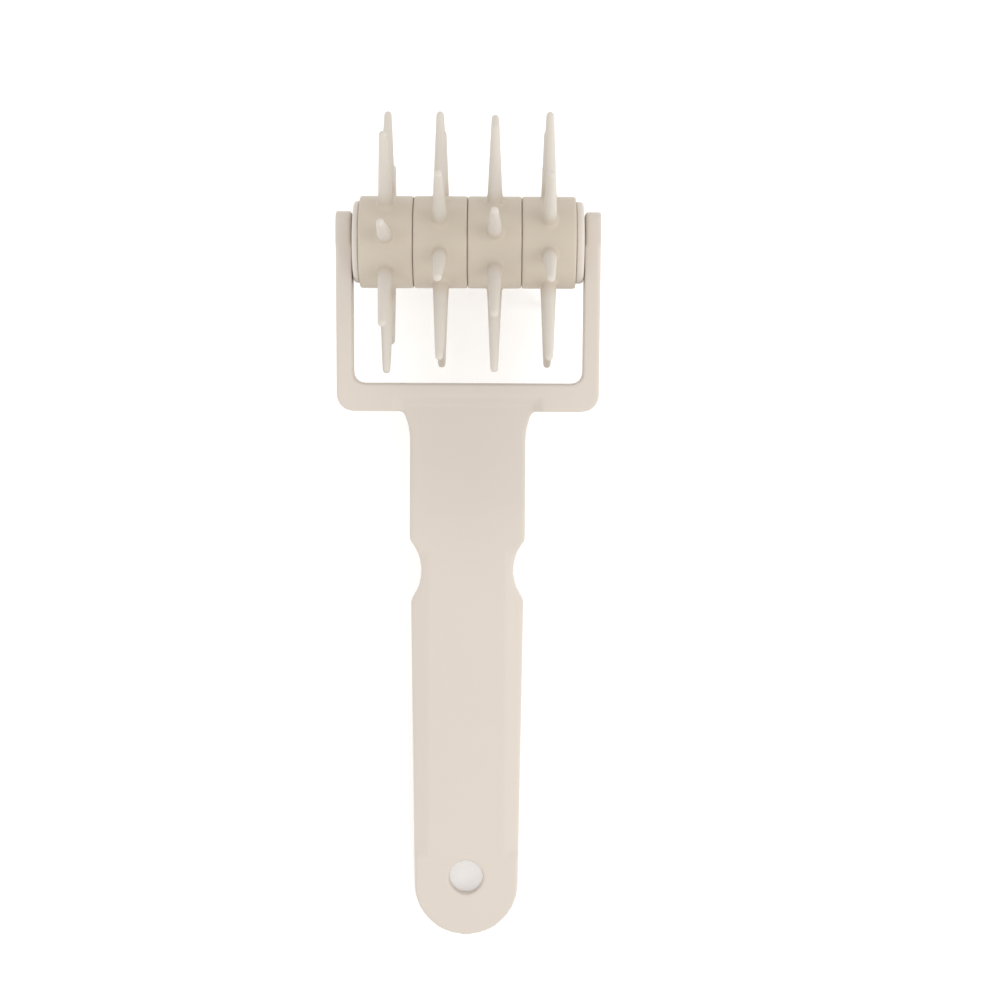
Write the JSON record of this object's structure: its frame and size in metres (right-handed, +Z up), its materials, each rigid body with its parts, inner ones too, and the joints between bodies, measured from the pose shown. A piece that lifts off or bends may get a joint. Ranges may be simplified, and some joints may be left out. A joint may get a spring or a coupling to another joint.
{
  "type": "dough docker",
  "caption": "Hand-held dough docker: a flat forked handle holds a freely turning roller of spiked rings, staggered ring by ring, that pricks rolled dough.",
  "frame": {"origin": "on the table under the middle of the overall box, with the spike tips and the tail end touching z = 0", "axes": "+X along the roller's axle, +Y along the handle towards the roller, +Z up; the handle leans 10.9 degrees because its tail end rests on the table"},
  "size_m": [0.065, 0.2026, 0.0648],
  "materials": {
    "handle_plastic": "satin moulded, warm light beige",
    "roller_plastic": "satin moulded, warm light beige",
    "ring_plastic": "satin moulded, warm light beige",
    "axle_steel": "drawn rod"
  },
  "bodies": {
    "handle": {"handle_fork": "handle_plastic", "axle_rod": "axle_steel"},
    "roller": {"roller_core": "roller_plastic", "hub_cap": "roller_plastic"},
    "ring_1": {"spike_ring_1": "ring_plastic"},
    "ring_2": {"spike_ring_2": "ring_plastic"},
    "ring_3": {"spike_ring_3": "ring_plastic"},
    "ring_4": {"spike_ring_4": "ring_plastic"}
  },
  "joints": [
    {"name": "roller_spin", "type": "hinge", "parent": "handle", "child": "roller", "pos_m": [0, 0.06892, 0.0324], "axis": [1, 0, 0], "continuous": true},
    {"name": "ring_1_play", "type": "hinge", "parent": "roller", "child": "ring_1", "pos_m": [-0.02, 0.06892, 0.0324], "axis": [1, 0, 0], "range_deg": [-5.4, 0.6]},
    {"name": "ring_2_play", "type": "hinge", "parent": "roller", "child": "ring_2", "pos_m": [-0.00677, 0.06892, 0.0324], "axis": [1, 0, 0], "range_deg": [-5.9, 0.1]},
    {"name": "ring_3_play", "type": "hinge", "parent": "roller", "child": "ring_3", "pos_m": [0.00647, 0.06892, 0.0324], "axis": [1, 0, 0], "range_deg": [-0.1, 5.9]},
    {"name": "ring_4_play", "type": "hinge", "parent": "roller", "child": "ring_4", "pos_m": [0.0197, 0.06892, 0.0324], "axis": [1, 0, 0], "range_deg": [-5.9, 0.1]}
  ]
}
